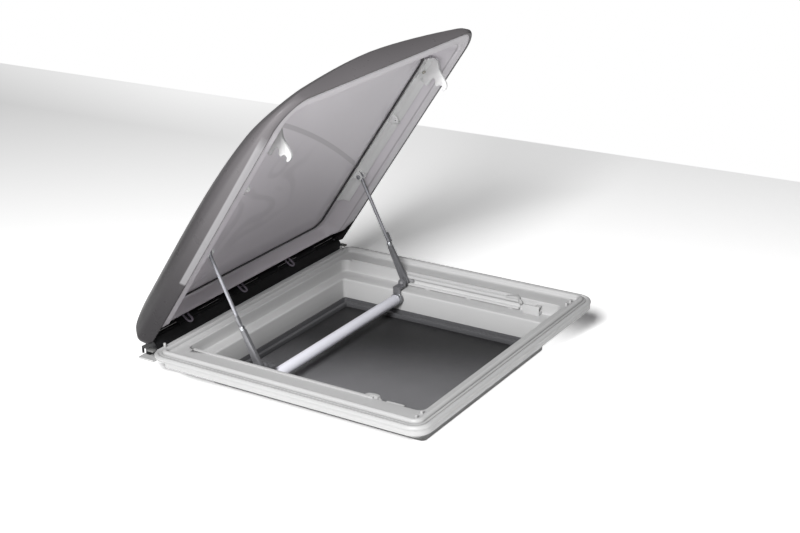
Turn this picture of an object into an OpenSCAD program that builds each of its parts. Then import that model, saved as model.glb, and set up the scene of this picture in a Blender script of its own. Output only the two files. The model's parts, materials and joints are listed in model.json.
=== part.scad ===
// Small caravan roof window: smoked double dome on a white frame, held open by two stays.
// Millimetres. Z is up and Z = 0 is the underside of the mounting flange, with the roof seal below it.
// The origin is the middle of the roof cut-out.
// X runs along the hinge, -Y is the side that opens, +Y is the hinge side.
// The file is drawn with the dome fully open.

/* [Roof and frame] */
// side of the square hole cut in the roof
cutout = 400; // [380:1:420]
// half length of the frame along the hinge
skirt_x = 265; // [250:0.5:280]
// half depth of the frame
skirt_y = 247.5; // [235:0.5:262]
// radius of the outer corners of the frame
skirt_r = 28; // [28:1:36]
// height of the lower edge of the outer skirt above the roof
skirt_z = 12; // [8:0.5:14]
// height of the top of the raised rim above the roof
rim_z = 32; // [28:0.5:36]
// wall thickness of the frame
wall = 3; // [2.5:0.1:3.5]
// half width of the opening in the upper deck
deck_x = 210; // [206:0.5:214]
// half depth of the opening in the upper deck
deck_y = 214; // [210:0.5:216]
// height of the top of the deck
deck_z = 24; // [22:0.5:26]
// half width of the clear opening between the collar walls
collar_x = 178; // [172:0.5:182]
// half depth of the clear opening between the collar walls
collar_y = 193.5; // [188:0.5:194]
// depth of the collar below the roof skin
collar_d = 32; // [30:0.5:40]

/* [Insect screen] */
// width of the tray that holds the screen
tray_w = 15; // [12:0.5:20]
// depth of the tray
tray_d = 9; // [7:0.5:12]

/* [Dome] */
// opening angle of the dome
open_deg = 55; // [50:1:60]
// height of the hinge axis above the roof
hinge_z = 42; // [40:0.5:44]
// distance of the hinge axis behind the middle of the cut-out
hinge_y = 256.5; // [254:0.5:259]
// half width of the lower edge of the dome
dome_x = 252; // [251:0.5:254]
// height of the lower edge of the closed dome
dome_z = 32.4; // [32.2:0.1:33.5]
// rise of the outer dome above its edge
dome_rise = 88; // [80:1:100]
// thickness of the outer dome
dome_t = 3; // [2.5:0.1:4]
// thickness of the inner pane
pane_t = 2.2; // [1.8:0.1:3]

/* [Stays and bow] */
// distance from the middle to each stay
stay_x = 199; // [196:0.5:201]
// radius of the steel rod of a stay
rod_r = 2.9; // [2.5:0.1:3.5]
// radius of the pivot pins
pin_r = 2.5; // [2:0.1:3]
// radius of the pull bar
bar_r = 9; // [8:0.5:11]

/* [Hidden] */
// which sub-part to draw
$fn = 48;
skirt_in = 0.4;
edge_r = 4;
edge_cz = rim_z - 8.5;
bead_r = 4.5;
bead_cz = rim_z - bead_r;
bead_o = 17;
channel_z = rim_z - 6.4;
rim_w = skirt_r - 2;
rib_h = channel_z - wall - skirt_z + 1;
deck_r = 12;
collar_r = 6;
shelf_x = skirt_x - 7;
shelf_w = 24;
step_y = 212;
step_h = 7.5;
step_w = 15;
lip_w = 3;
lip_h = 2.6;
lip_y0 = -132;
lip_y1 = 198;
slot_w = 4;
clip_d = 2.2;
tray_z = -collar_d - tray_d;
foot_z = tray_z - clip_d;
fit = 0.05;
pivot_y = 84.4;
pivot_z = 49.4;
slide_y = 80.5;
slide_z = 13.8;
bar_y = 80;
bar_z = -9.5;
dome_y0 = -250.5;
dome_y1 = 258;
pane_y1 = 249;
dome_r = 48;
rear_r = 12;
least_r = 20;
hinge_lift = 48;
hinge_x = skirt_x - 22.6;
knuckle_r = 4.2;
knuckle_n = 9;
knuckle_w = 2 * (hinge_x - 8.4) / knuckle_n;
knuckle_gap = 0.3;
rod_end = 2;
cap_w = 3;
ear_x = hinge_x + cap_w + 2;
ear_w = 4;
rail_in = 62;
rail_y0 = -176;
rail_y1 = 149;
gasket_w = 3.8;
guide_x = 203;
guide_w = 6.8;
guide_y0 = -137;
guide_y1 = 89;
guide_z0 = 5;
guide_z1 = 22.5;
front_drop = 0.17;
corner_drop = 0.66;
// place of the dome pivot when the dome is open
py = hinge_y + (pivot_y - hinge_y) * cos(open_deg) + (pivot_z - hinge_z) * sin(open_deg);
pz = hinge_z - (pivot_y - hinge_y) * sin(open_deg) + (pivot_z - hinge_z) * cos(open_deg);
stay_l = sqrt((py - slide_y) * (py - slide_y) + (pz - slide_z) * (pz - slide_z));
stay_a = atan2(py - slide_y, slide_z - pz);

// flat rounded rectangle
module rrect(hx, hy, r) {
    square([2 * hx, 2 * (hy - r)], center = true);
    square([2 * (hx - r), 2 * hy], center = true);
    for (sx = [-1, 1])
        for (sy = [-1, 1])
            translate([sx * (hx - r), sy * (hy - r)])
                circle(r);
}

// flat plate with a rounded rectangular hole
module ring(hx1, hy1, r1, hx2, hy2, r2, z0, z1) {
    translate([0, 0, z0])
        linear_extrude(z1 - z0)
            difference() {
                rrect(hx1, hy1, r1);
                rrect(hx2, hy2, r2);
            }
}

// carries a flat section round a rounded rectangle; the section has x = 0 on the outer face
module sweep(hx, hy, r) {
    for (a = [0, 180])
        rotate([0, 0, a]) {
            translate([hx, hy - r, 0])
                rotate([90, 0, 0])
                    linear_extrude(2 * (hy - r))
                        children();
            translate([hx - r, hy - r, 0])
                rotate_extrude(angle = 90)
                    translate([r, 0])
                        children();
            translate([-(hx - r), hy, 0])
                rotate([90, 0, 90])
                    linear_extrude(2 * (hx - r))
                        children();
            translate([-(hx - r), hy - r, 0])
                rotate([0, 0, 90])
                    rotate_extrude(angle = 90)
                        translate([r, 0])
                            children();
        }
}

// left copy of a right-hand piece
module left() {
    mirror([1, 0, 0])
        children();
}

// flat shape in the Y-Z plane made into a plate from x0 to x1
module plate_x(x0, x1) {
    translate([x0, 0, 0])
        rotate([90, 0, 90])
            linear_extrude(x1 - x0)
                children();
}

// flat shape in the X-Z plane made into a bar from y0 to y1
module plate_y(y0, y1) {
    translate([0, y1, 0])
        rotate([90, 0, 0])
            linear_extrude(y1 - y0)
                children();
}

// round bar along X
module rod_x(y, z, r, x0, x1) {
    translate([x0, y, z])
        rotate([0, 90, 0])
            cylinder(h = x1 - x0, r = r);
}

// turns the dome and all on it to the open place
module opened() {
    translate([0, hinge_y, hinge_z])
        rotate([-open_deg, 0, 0])
            translate([0, -hinge_y, -hinge_z])
                children();
}

// local frame of a stay: origin at the dome pivot, +Z to the lower pivot
module stay_frame() {
    translate([0, py, pz])
        rotate([stay_a, 0, 0])
            children();
}

// points along an arc from angle a0 to angle a1
function arc(cx, cy, r, a0, a1, n = 12) =
    [for (i = [0:n]) let (a = a0 + (a1 - a0) * i / n) [cx + r * cos(a), cy + r * sin(a)]];

// section of the rim: skirt, rolled outer edge, seal channel, raised bead and inner web
module rim_section() {
    edge_a = asin((channel_z - edge_cz) / edge_r);
    bead_a = asin((channel_z - bead_cz) / bead_r);
    polygon(concat(
        [[-skirt_in - wall, skirt_z], [-skirt_in, skirt_z]],
        arc(-edge_r, edge_cz, edge_r, -acos(1 - skirt_in / edge_r), 180 - edge_a),
        arc(-bead_o, bead_cz, bead_r, bead_a, 195),
        [[-rim_w, deck_z], [-rim_w, deck_z - wall], [-rim_w + wall, deck_z - wall],
            [-rim_w + wall, 0], [-rim_w + 2 * wall, 0], [-rim_w + 2 * wall, channel_z - wall],
            [-skirt_in - wall, channel_z - wall]]));
}

module outer_frame() {
    web = rim_w - 1.5 * wall;
    color([0.86, 0.86, 0.85])
        difference() {
            union() {
                sweep(skirt_x, skirt_y, skirt_r)
                    rim_section();
                // deck, trough wall, trough floor and collar
                ring(skirt_x - rim_w + 1.5, skirt_y - rim_w + 1.5, skirt_r - rim_w + 1.5,
                    deck_x, deck_y, deck_r, deck_z - wall, deck_z);
                ring(deck_x + wall, deck_y + wall, deck_r + wall, deck_x, deck_y, deck_r, 0, deck_z);
                ring(skirt_x - web, skirt_y - web, skirt_r - web, collar_x, collar_y, collar_r, 0, wall);
                ring(collar_x + wall, collar_y + wall, collar_r + wall, collar_x, collar_y, collar_r,
                    foot_z, wall);
                // raised lips beside the guides
                for (s = [-1, 1])
                    translate([s > 0 ? deck_x : -deck_x - lip_w, lip_y0, deck_z - 1])
                        cube([lip_w, lip_y1 - lip_y0, lip_h + 1]);
                // ribs between the skirt and the inner web
                for (x = [-200:80:200])
                    for (s = [-1, 1])
                        translate([x - 1, s > 0 ? skirt_y - 21 : -skirt_y + 1, skirt_z])
                            cube([2, 20, rib_h]);
                for (y = [-180:72:180])
                    for (s = [-1, 1])
                        translate([s > 0 ? skirt_x - 21 : -skirt_x + 1, y - 1, skirt_z])
                            cube([20, 2, rib_h]);
            }
            // slots in the deck behind the lips
            for (s = [-1, 1])
                translate([s * (deck_x + 4), lip_y1 + slot_w / 2, deck_z - 2])
                    cube([18, slot_w, 12], center = true);
            // lower skirt cut back beside the hinge
            for (s = [-1, 1])
                translate([s > 0 ? skirt_x - step_w : -skirt_x - 2, step_y, skirt_z - 1])
                    cube([step_w + 2, skirt_y - step_y + 2, step_h + 1]);
        }
    // shelf under the hinge
    shelf_h = shelf_w / 2 + wall;
    color([0.86, 0.86, 0.85])
        translate([0, skirt_y - 2 * wall + shelf_h, skirt_z])
            linear_extrude(wall)
                rrect(shelf_x, shelf_h, 8);
}

module rim_seal() {
    color([0.7, 0.7, 0.7])
        sweep(skirt_x, skirt_y, skirt_r)
            translate([-12.4, channel_z])
                square([4, 1.2]);
}

module roof_seal() {
    color([0.15, 0.15, 0.15])
        ring(skirt_x - 24, skirt_y - 24, 6, cutout / 2 + 2, cutout / 2 + 2, 8, -2.6, -0.1);
}

module screen_tray() {
    tx = collar_x - 0.3;
    ty = collar_y - 0.3;
    color([0.2, 0.2, 0.21]) {
        ring(tx, ty, collar_r - 0.5, tx - tray_w, ty - tray_w, 2, tray_z, tray_z + 2);
        ring(tx, ty, collar_r - 0.5, tx - 2, ty - 2, 4, tray_z, -collar_d + 1);
        ring(tx - tray_w + 6, ty - tray_w + 6, 3, tx - tray_w, ty - tray_w, 2, tray_z,
            -collar_d - 1.5);
    }
}

module insect_screen() {
    color([0.12, 0.12, 0.13])
        translate([0, 0, tray_z - 0.7])
            linear_extrude(0.6)
                rrect(collar_x - tray_w + 4, collar_y - tray_w + 4, 3);
}

module screen_clips() {
    color([0.25, 0.25, 0.26])
        for (x = [-120, 120])
            for (s = [-1, 1])
                translate([x, s * (collar_y - 5), tray_z - clip_d]) {
                    cylinder(h = clip_d - 0.2, r = 4);
                    translate([-3, s > 0 ? 0 : -4.7, 0])
                        cube([6, 4.7, clip_d - 0.2]);
                }
}

// grooved rail in which the lower end of a stay slides
module guide() {
    difference() {
        translate([guide_x, guide_y0, guide_z0])
            cube([guide_w, guide_y1 - guide_y0, guide_z1 - guide_z0]);
        translate([guide_x - 1, guide_y0 - 1, guide_z0 + 3.2])
            cube([guide_w - 0.6, guide_y1 - guide_y0 - 2, 9.4]);
        // line along the top
        translate([guide_x + 2.6, guide_y0 - 1, guide_z1 - 0.5])
            cube([0.8, guide_y1 - guide_y0 + 2, 1]);
        for (y = [-120, -20, 70])
            rod_x(y, guide_z0 + 1.7, 1.1, guide_x - 1, guide_x + guide_w + 1);
    }
    // closed rear end of the groove
    translate([guide_x, guide_y1 - 3, 3.2])
        cube([guide_w, 3, 18.8]);
    // feet on the floor of the trough
    for (y = [-125, -45, 35])
        translate([guide_x + 1, y, wall])
            cube([5, 8, guide_z0 - wall + 0.2]);
}

module guide_left() {
    color([0.84, 0.84, 0.84])
        left()
            guide();
}

module guide_right() {
    color([0.84, 0.84, 0.84])
        guide();
}

module guide_screws() {
    color([0.75, 0.75, 0.76])
        for (s = [0, 1])
            mirror([s, 0, 0])
                for (y = [-120, -20, 70]) {
                    rod_x(y, guide_z0 + 1.7, 1.05, guide_x - 0.1, guide_x + guide_w + 0.1);
                    rod_x(y, guide_z0 + 1.7, 1.6, guide_x - 0.65, guide_x - 0.05);
                }
}

// sliding catch on top of a guide, drawn back
module catch_piece() {
    difference() {
        union() {
            plate_x(201.5, 209.4)
                polygon([[-113, 22.8], [-113, 23.4], [-119, 25.6], [-128, 26.8], [-134, 26.6],
                    [-137.5, 25.4], [-138.2, 22.8]]);
            plate_x(203.4, 206.6)
                polygon([[-143.5, 16.4], [-142.6, 19.4], [-139.6, 22.4], [-138, 23.4], [-137.3, 23.4],
                    [-137.3, 15.4], [-142.8, 15.4]]);
        }
        for (x = [204.2, 206.8])
            translate([x, -122, 25.2])
                cube([0.9, 9, 4]);
    }
}

module catch_left() {
    color([0.88, 0.88, 0.88])
        left()
            catch_piece();
}

module catch_right() {
    color([0.88, 0.88, 0.88])
        catch_piece();
}

// open pocket in which the claw of the closed dome stands
module catch_pocket() {
    difference() {
        translate([198, -177, 3])
            cube([11.8, 29.5, 15.5]);
        translate([202, -168, 4.5])
            cube([6.4, 30, 20]);
        translate([200, -181, 9])
            cube([8, 8, 6]);
    }
}

module catch_pocket_left() {
    color([0.86, 0.86, 0.86])
        left()
            catch_pocket();
}

module catch_pocket_right() {
    color([0.86, 0.86, 0.86])
        catch_pocket();
}

// knuckles of the hinge, every second one
module knuckles(first) {
    for (i = [first:2:knuckle_n - 1])
        translate([(i - knuckle_n / 2) * knuckle_w + knuckle_gap, 0, 0])
            children();
}

module hinge_base() {
    color([0.05, 0.05, 0.05])
        difference() {
            union() {
                plate_x(-hinge_x, hinge_x)
                    polygon([[243, 27.8], [243, 32.4], [250, 43.9], [251.3, 43.1], [245, 32.4],
                        [258.5, 32.4], [262, 32.4], [262, 15.1], [258.5, 15.1], [258.5, 29.4],
                        [248, 29.4], [248, 27.8]]);
                knuckles(0) {
                    rod_x(hinge_y, hinge_z, knuckle_r, 0, knuckle_w - 2 * knuckle_gap);
                    plate_x(0, knuckle_w - 2 * knuckle_gap)
                        polygon([[253.6, 32], [253.6, 41], [259.4, 41], [259.4, 32]]);
                }
            }
            rod_x(hinge_y, hinge_z, rod_end + fit, -skirt_x, skirt_x);
        }
}

module hinge_leaf() {
    color([0.07, 0.07, 0.07])
        opened()
            difference() {
                union() {
                    knuckles(1) {
                        rod_x(hinge_y, hinge_z, knuckle_r, 0, knuckle_w - 2 * knuckle_gap);
                        plate_x(0, knuckle_w - 2 * knuckle_gap)
                            polygon([[252.4, 43], [252.4, 49], [254.6, 49], [254.6, 43]]);
                    }
                    plate_x(8.4 - hinge_x, hinge_x - 8.4)
                        polygon([[252.4, 46.7], [252.4, 56], [260.4, 56], [260.4, 54], [254.6, 54],
                            [254.6, 46.7]]);
                }
                rod_x(hinge_y, hinge_z, rod_end + fit, -skirt_x, skirt_x);
            }
}

module hinge_rod() {
    color([0.72, 0.72, 0.74])
        rod_x(hinge_y, hinge_z, rod_end, 1 - hinge_x, hinge_x - 1);
}

module hinge_end_caps() {
    color([0.04, 0.04, 0.04])
        for (s = [0, 1])
            mirror([s, 0, 0])
                plate_x(hinge_x + 0.3, hinge_x + 0.3 + cap_w)
                    polygon([[243.4, 28.2], [243.4, 32.2], [250.6, 43.8], [255.4, 43.8], [259.6, 38.6],
                        [267, 31.6], [275, 27], [275, 15.4], [272, 15.4], [272, 24], [266.5, 24],
                        [266.5, 15.4], [258.6, 15.4], [258.6, 28.2]]);
}

module rear_pegs() {
    color([0.9, 0.9, 0.9])
        for (x = [-234, 234])
            translate([x, skirt_y - 10.4, channel_z + 1.3])
                cylinder(h = 9, r = 2.1);
}

module corner_pads() {
    color([0.45, 0.45, 0.45])
        for (s = [0, 1])
            mirror([s, 0, 0])
                translate([249.9, 240.5, rim_z - 4])
                    cube([8, 12, 3]);
}

module rest_blocks() {
    color([0.9, 0.9, 0.9])
        for (s = [0, 1])
            mirror([s, 0, 0])
                for (x = [214, 228])
                    translate([x, -219.4, deck_z])
                        cube([5, 3.6, 4.5]);
}

// loop with a round lower end, from z0 up to z1
module clip_form(half, z0, z1) {
    translate([0, z0 + half])
        circle(half);
    translate([-half, z0 + half])
        square([2 * half, z1 - z0 - half]);
}

module hinge_clips() {
    color([0.3, 0.28, 0.32])
        opened()
            for (x = [-168, -32, 96])
                translate([x, 0, 0])
                    plate_y(240.4, 242.6)
                        difference() {
                            clip_form(6.5, 28.3, 46.6);
                            clip_form(3.6, 31.2, 48);
                        }
}

// lowest height of the dome edge at a place, lifted over the hinge between the two ears
function edge_z(x, y) =
    let (t = min(1, max(0, (y - 214) / 34)), u = min(1, max(0, (ear_x + ear_w - abs(x)) / ear_w)))
    dome_z + (hinge_lift - dome_z) * t * t * (3 - 2 * t) * u * u * (3 - 2 * u);

// share of the full height that the dome has at a place, less towards the front and its corners
function fullness(x, y) =
    let (t = min(1, max(0, (120 - y) / 370)))
    1 - front_drop * pow(t, 2.1) - corner_drop * pow(t, 3.7) * pow(abs(x) / dome_x, 1.65);

corner_n = 8;
side_n = 9;

// points of one level of the dome, counter-clockwise from above, with its two corner radii
function level_pts(hx, y0, y1, front_r, rear_r) =
    let (cs = [[hx - rear_r, y1 - rear_r, 0, rear_r], [rear_r - hx, y1 - rear_r, 90, rear_r],
        [front_r - hx, y0 + front_r, 180, front_r], [hx - front_r, y0 + front_r, 270, front_r]])
    [for (k = [0:3])
        let (c = cs[k], d = cs[(k + 1) % 4],
            p = [c[0], c[1]] + c[3] * [cos(c[2] + 90), sin(c[2] + 90)],
            q = [d[0], d[1]] + d[3] * [cos(d[2]), sin(d[2])])
        for (i = [0:corner_n + side_n - 1])
            let (a = c[2] + 90 * i / corner_n, t = (i - corner_n) / side_n)
            i <= corner_n ? [c[0], c[1]] + c[3] * [cos(a), sin(a)] : p + (q - p) * t];

// one surface; a row is [inset, height, offset inwards, offset upwards, least height over the edge],
// share is how far fullness counts, grow how the corners widen and rear the share of the inset behind
function surface_pts(rows, t, y1, share, grow, rear, low_r) =
    [for (s = rows)
        let (e = s[0] + t * s[2],
            most = dome_x - e - 1,
            front_r = min(most, max(least_r, dome_r + grow * max(0, e))),
            back_r = min(most, max(low_r, rear_r + grow * max(0, e))))
        for (p = level_pts(dome_x - e, dome_y0 + (s[0] < 0 ? t * s[2] : e) + 0.05 * s[1],
            y1 - e * rear, front_r, back_r))
            let (f = 1 - share * (1 - fullness(p[0], p[1])))
            [p[0], p[1], max(dome_z + s[1] * f, edge_z(p[0], p[1]) + s[4]) + t * s[3]]];

// centre of n points that start at index i
function middle(p, i, n) = [for (c = [0:2]) [for (j = [i:i + n - 1]) p[j][c] / n] * [for (j = [1:n]) 1]];

// triangles between the levels k and l, each of n points
function strip(k, l, n) =
    [for (i = [0:n - 1])
        let (j = (i + 1) % n)
        each [[k * n + i, l * n + i, k * n + j], [k * n + j, l * n + i, l * n + j]]];

// closed shell between an upper surface a and a lower surface b
module shell(a, b) {
    n = 4 * (corner_n + side_n);
    m = len(a) / n;
    pts = concat(a, b, [middle(a, (m - 1) * n, n), middle(b, (m - 1) * n, n)]);
    faces = concat(
        [for (k = [0:m - 2]) each strip(k, k + 1, n)],
        [for (k = [0:m - 2]) each strip(m + k + 1, m + k, n)],
        strip(m, 0, n),
        [for (i = [0:n - 1])
            let (j = (i + 1) % n, o = (m - 1) * n)
            each [[o + i, 2 * m * n, o + j], [m * n + o + j, 2 * m * n + 1, m * n + o + i]]]);
    polyhedron(points = pts, faces = faces);
}

// closed band whose section is the loop of rows
module band(rows, y1, share, grow, rear, low_r) {
    n = 4 * (corner_n + side_n);
    m = len(rows);
    polyhedron(points = surface_pts(rows, 0, y1, share, grow, rear, low_r),
        faces = [for (k = [0:m - 1]) each strip(k, (k + 1) % m, n)]);
}

k = dome_rise / 88;
outer_rows = [[0, 0, 1, 0, 0], [-5.2, 8 * k, 1, 0, 1.2], [-8, 20 * k, 1, -0.1, 3.2],
    [-4.8, 30 * k, 0.9, -0.5, 6], [0.6, 39 * k, 0.7, -0.8, 9], [10, 47 * k, 0.4, -0.95, 12],
    [24, 55 * k, 0.3, -1, 15], [46, 63.5 * k, 0.2, -1, 18], [78, 72 * k, 0.1, -1, 21],
    [118, 79.5 * k, 0.05, -1, 22], [162, 84.5 * k, 0.02, -1, 23], [206, 87 * k, 0, -1, 24],
    [240, 88 * k, 0, -1, 25]];

module dome_outer() {
    color([0.30, 0.29, 0.31])
        opened()
            shell(surface_pts(outer_rows, 0, dome_y1, 1, 0.62, 1, rear_r),
                surface_pts(outer_rows, dome_t, dome_y1, 1, 0.62, 1, rear_r));
}

wall_foot = 27;
wall_top = 45;
wall_z = 4.1;
pane_z = 25.6;
pane_rear = 0.55;
pane_rows = [[4.2, 0.4, 0, 1, 0.4], [16, 1.4, 0, 1, 0.9], [wall_foot, wall_z, -0.4, 0.9, 1.4],
    [wall_top, pane_z, -0.3, 1, 3.4], [52, pane_z + 3, -0.1, 1, 6.5], [64, pane_z + 4.6, 0, 1, 9],
    [100, pane_z + 8, 0, 1, 12], [150, pane_z + 11, 0, 1, 14], [200, pane_z + 12.6, 0, 1, 15],
    [240, pane_z + 13, 0, 1, 16]];

module dome_inner_pane() {
    color([0.66, 0.64, 0.67])
        opened()
            shell(surface_pts(pane_rows, pane_t, pane_y1, 0, -1, pane_rear, least_r),
                surface_pts(pane_rows, 0, pane_y1, 0, -1, pane_rear, least_r));
}

module pane_gasket() {
    color([0.1, 0.1, 0.1])
        opened()
            band([for (p = [[0, -2.6], [0, -0.6], [gasket_w, -0.2], [gasket_w, -2.2]])
                [rail_in + 0.6 + p[0], pane_z + 4.6 + p[1], 0, 0, -60]], pane_y1, 0, -1, pane_rear, least_r);
}

// section of the white strip under the inner pane, from its outer to its inner edge
rail_pts = [[213.5, 48.6], [206.6, 57], [199.8, 60.3], [190.5, 61.6], [190.5, 58.2], [193, 57.4],
    [203.4, 55.2], [206, 53.4], [211.6, 46.6]];

// white strip under the inner pane, with the pivot bracket and the rod clip
module dome_rail() {
    difference() {
        union() {
            plate_y(rail_y0, rail_y1)
                polygon(rail_pts);
            // pivot bracket
            for (x = [193.6, 203])
                plate_x(x, x + 2.6)
                    polygon([[pivot_y - 9, pivot_z + 8], [pivot_y - 4, pivot_z - 5.5],
                        [pivot_y + 4, pivot_z - 5.5], [pivot_y + 9, pivot_z + 8]]);
            translate([193.6, pivot_y - 9, pivot_z + 5.3])
                cube([12, 18, 2.6]);
            // clip for the rod: a pierced ear and a hook beside it
            plate_x(193, 195.4)
                difference() {
                    polygon([[-60, 58.2], [-36, 58.2], [-40, 54], [-48, 45], [-51.5, 43.4],
                        [-54.6, 45.2], [-57, 50]]);
                    translate([-51, 48])
                        circle(1.3);
                }
            plate_x(202.6, 205)
                polygon([[-44, 54.6], [-34, 54.6], [-38, 50], [-44, 44.4], [-47.4, 43.2], [-46.6, 46.2],
                    [-43, 49]]);
        }
        rod_x(pivot_y, pivot_z, pin_r + fit, 190, 210);
    }
}

module dome_rail_left() {
    color([0.82, 0.82, 0.83])
        opened()
            left()
                dome_rail();
}

module dome_rail_right() {
    color([0.82, 0.82, 0.83])
        opened()
            dome_rail();
}

// place of the screw of a claw, +Z down through its foot
module claw_screw_at() {
    translate([198.6, -152, 56])
        rotate([0, 193.5, 0])
            children();
}

// claw with two notches that open towards the hinge
module claw() {
    difference() {
        union() {
            plate_x(203, 207)
                polygon([[-133, 50.5], [-133, 38.5], [-147.5, 38.5], [-151.5, 36.6], [-152.8, 33.3],
                    [-151, 30.6], [-146, 28.2], [-144.8, 25.6], [-146.2, 23.2], [-149.5, 22.2],
                    [-151.7, 20], [-152.3, 17.5], [-151, 14.6], [-146.6, 13.4], [-146, 11],
                    [-151, 8.8], [-157, 9.6], [-161, 13], [-164.5, 20], [-171, 36], [-181, 45],
                    [-181, 50.5]]);
            plate_y(-181, -139)
                polygon([[203, 46], [207, 46], [207, 50.5], [205, 53], [203, 54.9], [193, 57.2],
                    [190.5, 58], [190.5, 55.4], [193, 54.8], [203, 52.4]]);
        }
        claw_screw_at()
            cylinder(h = 12, r = 1.8, center = true);
    }
}

module claw_left() {
    color([0.88, 0.88, 0.88])
        opened()
            left()
                claw();
}

module claw_right() {
    color([0.88, 0.88, 0.88])
        opened()
            claw();
}

module claw_screws() {
    color([0.62, 0.6, 0.56])
        opened()
            for (s = [0, 1])
                mirror([s, 0, 0])
                    claw_screw_at() {
                        translate([0, 0, 0.1])
                            cylinder(h = 2.7, r = 1.7);
                        translate([0, 0, 2.6])
                            cylinder(h = 1.6, r = 3.2);
                    }
}

module pivot_pin() {
    rod_x(pivot_y, pivot_z, pin_r, 193, 207);
    rod_x(pivot_y, pivot_z, pin_r + 1.2, 191.6, 193.2);
}

module pivot_pin_left() {
    color([0.7, 0.7, 0.72])
        opened()
            left()
                pivot_pin();
}

module pivot_pin_right() {
    color([0.7, 0.7, 0.72])
        opened()
            pivot_pin();
}

rod_len = stay_l - 64;

// steel rod with a flattened eye
module stay_rod() {
    difference() {
        union() {
            translate([stay_x + 0.6, 0, 3])
                cylinder(h = rod_len - 3.6, r = rod_r);
            rod_x(0, 0, 5, stay_x - 1.6, stay_x + 2.8);
        }
        rod_x(0, 0, pin_r + fit, 180, 220);
    }
}

module stay_nut() {
    difference() {
        translate([stay_x + 0.6, 0, rod_len - 7])
            cylinder(h = 6.5, r = 4.4);
        translate([stay_x + 0.6, 0, rod_len - 8])
            cylinder(h = 9, r = rod_r + 0.02);
    }
}

// bent spring tab beside the foot of the rod
module stay_tab() {
    translate([stay_x + 4.2, -1, rod_len - 24])
        cube([1, 5, 17]);
    translate([stay_x + 0.2, 3.2, rod_len - 24])
        cube([5, 0.9, 12]);
}

// grey lever that joins the rod to the sliding pin
module stay_lever() {
    difference() {
        plate_x(stay_x - 3, stay_x + 3)
            union() {
                polygon([[-4, rod_len - 0.4], [4, rod_len - 0.4], [6.6, stay_l - 8], [6.6, stay_l],
                    [-6.6, stay_l], [-6.6, stay_l - 8]]);
                translate([0, stay_l])
                    circle(6.6);
            }
        rod_x(0, stay_l, pin_r + fit, 180, 220);
        plate_x(stay_x - 4, stay_x - 2)
            polygon([[-1.6, rod_len + 8], [1.6, rod_len + 8], [2.6, stay_l - 12], [-2.6, stay_l - 12]]);
    }
}

module stay_rod_left() {
    color([0.75, 0.75, 0.77])
        left()
            stay_frame()
                stay_rod();
}

module stay_rod_right() {
    color([0.75, 0.75, 0.77])
        stay_frame()
            stay_rod();
}

module stay_nut_left() {
    color([0.8, 0.8, 0.8])
        left()
            stay_frame()
                stay_nut();
}

module stay_nut_right() {
    color([0.8, 0.8, 0.8])
        stay_frame()
            stay_nut();
}

module stay_tab_left() {
    color([0.4, 0.4, 0.4])
        left()
            stay_frame()
                stay_tab();
}

module stay_tab_right() {
    color([0.4, 0.4, 0.4])
        stay_frame()
            stay_tab();
}

module stay_lever_left() {
    color([0.42, 0.42, 0.43])
        left()
            stay_frame()
                stay_lever();
}

module stay_lever_right() {
    color([0.42, 0.42, 0.43])
        stay_frame()
            stay_lever();
}

// arm from the sliding pin over the collar and down to the pull bar
module bow_arm() {
    difference() {
        union() {
            plate_x(188, 192.5)
                union() {
                    translate([slide_y, slide_z])
                        circle(6.6);
                    translate([slide_y - 6.6, slide_z - 6.6])
                        square([13.2, 6.6]);
                }
            translate([171.5, slide_y - 6.6, 7.2])
                cube([20, 13.2, 4.2]);
            plate_x(171.5, 175.5)
                union() {
                    translate([bar_y - 6.1, bar_z])
                        square([13.2, 20.9]);
                    translate([bar_y, bar_z])
                        circle(10.5);
                }
        }
        rod_x(slide_y, slide_z, pin_r + 0.02, 180, 200);
    }
    rod_x(bar_y, bar_z, 7.4, 160, 172);
}

module bow_arm_left() {
    color([0.42, 0.42, 0.43])
        left()
            bow_arm();
}

module bow_arm_right() {
    color([0.42, 0.42, 0.43])
        bow_arm();
}

module bow_bar() {
    color([0.80, 0.80, 0.83])
        difference() {
            rod_x(bar_y, bar_z, bar_r, -167, 167);
            rod_x(bar_y, bar_z, 7.5, -170, 170);
        }
}

module bow_collars() {
    color([0.66, 0.66, 0.68])
        for (s = [0, 1])
            mirror([s, 0, 0])
                difference() {
                    rod_x(bar_y, bar_z, 10.2, 167.2, 171.3);
                    rod_x(bar_y, bar_z, 7.5, 166, 173);
                }
}

// pin through the lever with the shoe that runs in the groove
module slide_shoe() {
    rod_x(slide_y, slide_z, pin_r, 187.5, 207.6);
    plate_x(203.6, 207.6)
        polygon([[slide_y - 14, slide_z - 1.4], [slide_y - 12, slide_z + 1.8], [slide_y - 6, slide_z + 3],
            [slide_y + 2.6, slide_z + 3], [slide_y + 2.6, slide_z - 2.4], [slide_y - 12, slide_z - 2.4]]);
}

module slide_shoe_left() {
    color([0.2, 0.2, 0.2])
        left()
            slide_shoe();
}

module slide_shoe_right() {
    color([0.2, 0.2, 0.2])
        slide_shoe();
}

outer_frame();
rim_seal();
roof_seal();
screen_tray();
insect_screen();
screen_clips();
guide_left();
guide_right();
guide_screws();
catch_left();
catch_right();
catch_pocket_left();
catch_pocket_right();
hinge_base();
hinge_end_caps();
hinge_rod();
rear_pegs();
corner_pads();
rest_blocks();
hinge_leaf();
hinge_clips();
dome_outer();
dome_inner_pane();
pane_gasket();
dome_rail_left();
dome_rail_right();
claw_left();
claw_right();
claw_screws();
pivot_pin_left();
pivot_pin_right();
stay_rod_left();
stay_rod_right();
stay_nut_left();
stay_nut_right();
stay_tab_left();
stay_tab_right();
stay_lever_left();
stay_lever_right();
bow_arm_left();
bow_arm_right();
bow_bar();
bow_collars();
slide_shoe_left();
slide_shoe_right();
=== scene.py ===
import json
import math

import bmesh
import bpy
from mathutils import Matrix, Vector

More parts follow.
